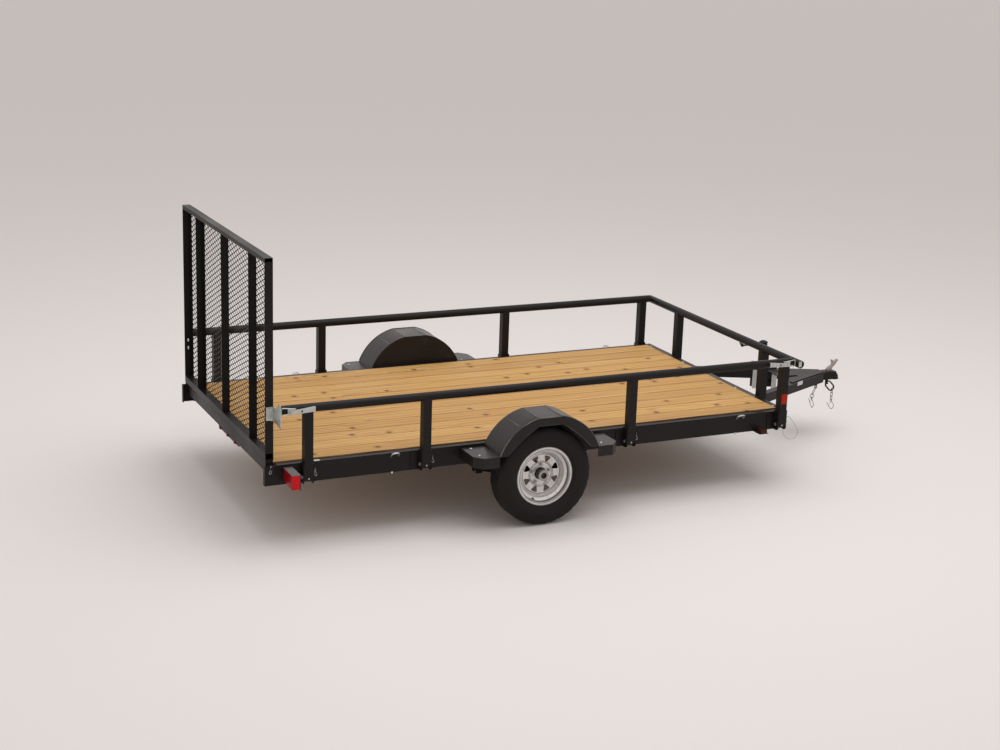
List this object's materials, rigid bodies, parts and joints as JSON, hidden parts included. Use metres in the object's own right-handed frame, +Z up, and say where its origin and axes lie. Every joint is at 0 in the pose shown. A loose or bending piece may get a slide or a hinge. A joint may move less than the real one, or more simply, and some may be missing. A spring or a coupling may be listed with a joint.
{
  "type": "utility trailer",
  "caption": "Open utility trailer with a wood deck, drop-down mesh ramp gate, fold-down side guards, a sprung axle and a ball coupler.",
  "frame": {"origin": "on the floor, midway along the trailer's whole length and width", "axes": "+X forward to the coupler, +Y to the trailer's left, +Z up"},
  "size_m": [4.5128, 2.272, 1.668],
  "materials": {
    "frame_paint": "satin black paint",
    "fender_paint": "satin charcoal paint",
    "deck_wood": "weathered treated pine",
    "bright_zinc": "bright zinc plate",
    "galvanised_steel": "galvanised",
    "hub_steel": "oily black steel",
    "tyre_rubber": "dry black rubber",
    "red_lens": "red lens",
    "amber_lens": "amber lens",
    "cord": "grey braided cord"
  },
  "bodies": {
    "chassis": {"frame_rail_left": "frame_paint", "frame_rail_right": "frame_paint", "front_sill": "frame_paint", "rear_sill": "frame_paint", "joists": "frame_paint", "deck_boards": "deck_wood", "tongue_beam_left": "frame_paint", "tongue_beam_right": "frame_paint", "gusset_plate": "frame_paint", "coupler": "frame_paint", "coupler_latch": "bright_zinc", "chain_anchors": "frame_paint", "chain_loop": "frame_paint", "safety_chains": "bright_zinc", "jack_mount": "frame_paint", "jack_clamps": "bright_zinc", "jack_tube": "frame_paint", "jack_crank": "frame_paint", "front_guard": "frame_paint", "front_catches": "bright_zinc", "gate_pins": "bright_zinc", "axle": "frame_paint", "leaf_springs": "frame_paint", "spring_hangers": "frame_paint", "spring_ties": "frame_paint", "fender_left": "fender_paint", "fender_right": "fender_paint", "fender_steps": "fender_paint", "post_ears": "frame_paint", "pivot_pins": "bright_zinc", "lock_pins": "bright_zinc", "lanyard": "cord", "tail_lamps": "red_lens", "lamp_brackets": "frame_paint", "id_lamps": "red_lens", "marker_lamps": "amber_lens", "tie_loops": "bright_zinc"},
    "ramp_gate": {"gate_frame": "frame_paint", "gate_mesh": "frame_paint", "gate_catches": "bright_zinc"},
    "jack_leg": {"jack_leg": "bright_zinc"},
    "wheel_left": {"rim_left": "galvanised_steel", "tyre_left": "tyre_rubber", "hub_left": "hub_steel"},
    "guard_left": {"guard_rail_left": "frame_paint", "latches_left": "bright_zinc"},
    "wheel_right": {"rim_right": "galvanised_steel", "tyre_right": "tyre_rubber", "hub_right": "hub_steel"},
    "guard_right": {"guard_rail_right": "frame_paint", "latches_right": "bright_zinc"}
  },
  "joints": [
    {"name": "wheel_spin_left", "type": "hinge", "parent": "chassis", "child": "wheel_left", "pos_m": [-0.5924, 1.012, 0.303], "axis": [0, 1, 0], "continuous": true},
    {"name": "wheel_spin_right", "type": "hinge", "parent": "chassis", "child": "wheel_right", "pos_m": [-0.5924, -1.012, 0.303], "axis": [0, 1, 0], "continuous": true},
    {"name": "gate_hinge", "type": "hinge", "parent": "chassis", "child": "ramp_gate", "pos_m": [-2.2184, 0, 0.474], "axis": [0, -1, 0], "range_deg": [0, 112]},
    {"name": "guard_fold_left", "type": "hinge", "parent": "chassis", "child": "guard_left", "pos_m": [0, 0.9214, 0.411], "axis": [-1, 0, 0], "range_deg": [0, 100]},
    {"name": "guard_fold_right", "type": "hinge", "parent": "chassis", "child": "guard_right", "pos_m": [0, -0.9214, 0.411], "axis": [1, 0, 0], "range_deg": [0, 100]},
    {"name": "jack_slide", "type": "slide", "parent": "chassis", "child": "jack_leg", "axis": [0, 0, 1], "range_m": [0, 0.2]}
  ]
}
